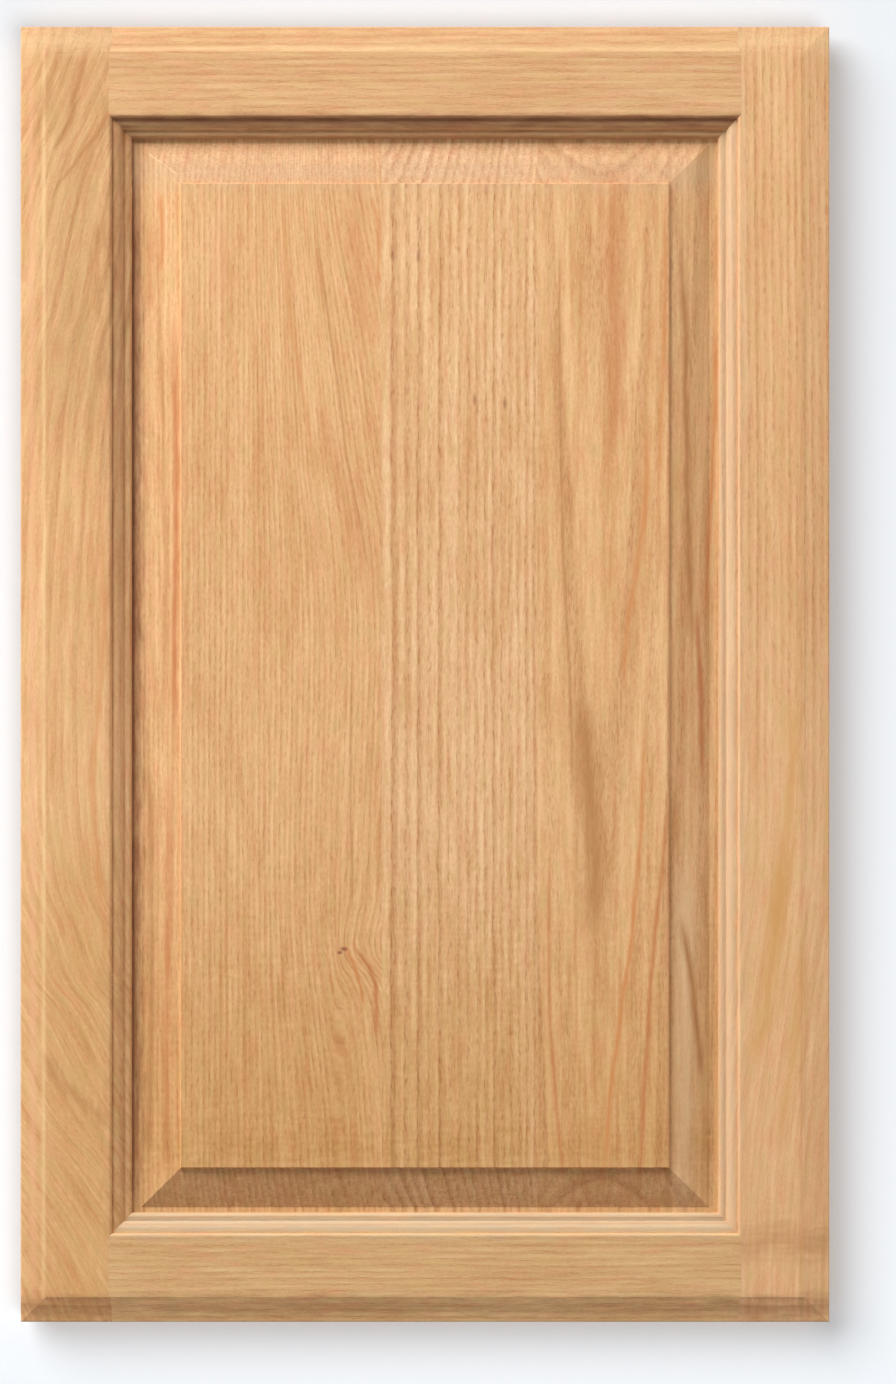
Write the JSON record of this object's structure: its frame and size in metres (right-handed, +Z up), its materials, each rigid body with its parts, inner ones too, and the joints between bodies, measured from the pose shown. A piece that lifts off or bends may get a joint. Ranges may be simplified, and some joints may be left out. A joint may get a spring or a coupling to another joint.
{
  "type": "kitchen cabinet door",
  "caption": "Frame-and-panel kitchen cabinet door in natural red oak, with a raised panel, moulded inner and outer edges and coped rail joints; unbored, for either hand.",
  "frame": {"origin": "on the back face of the left stile, at the middle of its width and height", "axes": "+Z up, -Y out of the door's front, +X to the right as seen from the front"},
  "size_m": [0.4064, 0.0191, 0.651],
  "materials": {
    "frame_oak": "natural red oak, sanded, unfinished",
    "panel_oak": "natural red oak, sanded, unfinished",
    "spacer_rubber": "soft rubber, squeezed between the panel and the groove"
  },
  "bodies": {
    "root": {"left_stile": "frame_oak", "right_stile": "frame_oak", "top_rail": "frame_oak", "bottom_rail": "frame_oak", "panel_board_left": "panel_oak", "panel_board_middle": "panel_oak", "panel_board_right": "panel_oak", "left_spacer_1": "spacer_rubber", "right_spacer_1": "spacer_rubber", "left_spacer_2": "spacer_rubber", "right_spacer_2": "spacer_rubber", "left_spacer_3": "spacer_rubber", "right_spacer_3": "spacer_rubber"}
  },
  "joints": []
}
